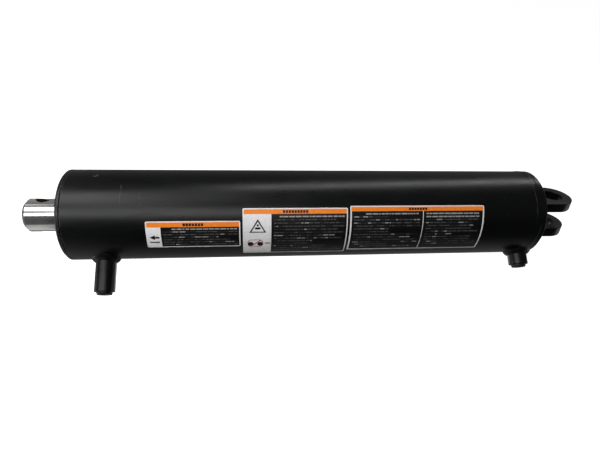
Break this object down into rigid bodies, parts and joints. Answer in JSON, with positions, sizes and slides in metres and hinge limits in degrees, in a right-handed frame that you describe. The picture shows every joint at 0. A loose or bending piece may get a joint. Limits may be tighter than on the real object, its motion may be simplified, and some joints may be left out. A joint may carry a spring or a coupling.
{
  "type": "hydraulic cylinder",
  "caption": "Welded hydraulic cylinder: a chromed rod with a cross pin hole slides out of a long round barrel that has side ports with dust plugs and a pin clevis at its base.",
  "frame": {"origin": "centre of the base clevis pin hole, on the cylinder axis", "axes": "+X along the cylinder from the barrel towards the clevis, so the rod extends along -X; +Z along the base clevis pin; the ports point to -Y and -Z"},
  "size_m": [0.8836, 0.1663, 0.1662],
  "materials": {
    "barrel_paint": "satin",
    "clevis_paint": "satin",
    "weld_paint": "satin",
    "port_paint": "satin",
    "bleed_screw_steel": "black oxide",
    "rod_chrome": "polished hard chrome",
    "piston_iron": "machined",
    "nut_steel": "plain",
    "seal_rubber": "matte",
    "seal_urethane": "smooth",
    "guide_nylon": "matte",
    "slide_ring_plastic": "matte",
    "plug_plastic": "gloss",
    "label_print": "laminated print"
  },
  "bodies": {
    "barrel": {"barrel_tube": "barrel_paint", "base_cap": "barrel_paint", "base_weld": "weld_paint", "head_gland": "barrel_paint", "gland_o_ring": "seal_rubber", "gland_backup_ring": "guide_nylon", "outer_rod_wear_band": "guide_nylon", "inner_rod_wear_band": "guide_nylon", "rod_u_cup": "seal_urethane", "rod_wiper": "seal_urethane", "bleed_screw": "bleed_screw_steel", "upper_clevis_ear": "clevis_paint", "lower_clevis_ear": "clevis_paint", "upper_ear_weld": "weld_paint", "lower_ear_weld": "weld_paint", "rod_port_stub": "port_paint", "rod_port_weld": "weld_paint", "base_port_stub": "port_paint", "base_port_weld": "weld_paint", "pinch_label": "label_print", "pressure_label": "label_print", "service_label": "label_print"},
    "piston_rings": {"piston_seal": "slide_ring_plastic", "piston_seal_spring": "seal_rubber", "rear_piston_wear_ring": "guide_nylon", "front_piston_wear_ring": "guide_nylon"},
    "rod_assembly": {"piston_rod": "rod_chrome", "piston": "piston_iron", "piston_nut": "nut_steel", "piston_rod_o_ring": "seal_rubber"},
    "rod_port_plug": {"rod_port_plug": "plug_plastic"},
    "base_port_plug": {"base_port_plug": "plug_plastic"}
  },
  "joints": [
    {"name": "rod_stroke", "type": "slide", "parent": "barrel", "child": "piston_rings", "axis": [-1, 0, 0], "range_m": [0, 0.6096]},
    {"name": "rod_spin", "type": "hinge", "parent": "piston_rings", "child": "rod_assembly", "pos_m": [-0.3, 0, 0], "axis": [1, 0, 0], "continuous": true},
    {"name": "rod_port_plug_pull", "type": "slide", "parent": "barrel", "child": "rod_port_plug", "axis": [0, -0.7071, -0.7071], "range_m": [0, 0.06]},
    {"name": "base_port_plug_pull", "type": "slide", "parent": "barrel", "child": "base_port_plug", "axis": [0, -0.7071, -0.7071], "range_m": [0, 0.06]}
  ]
}
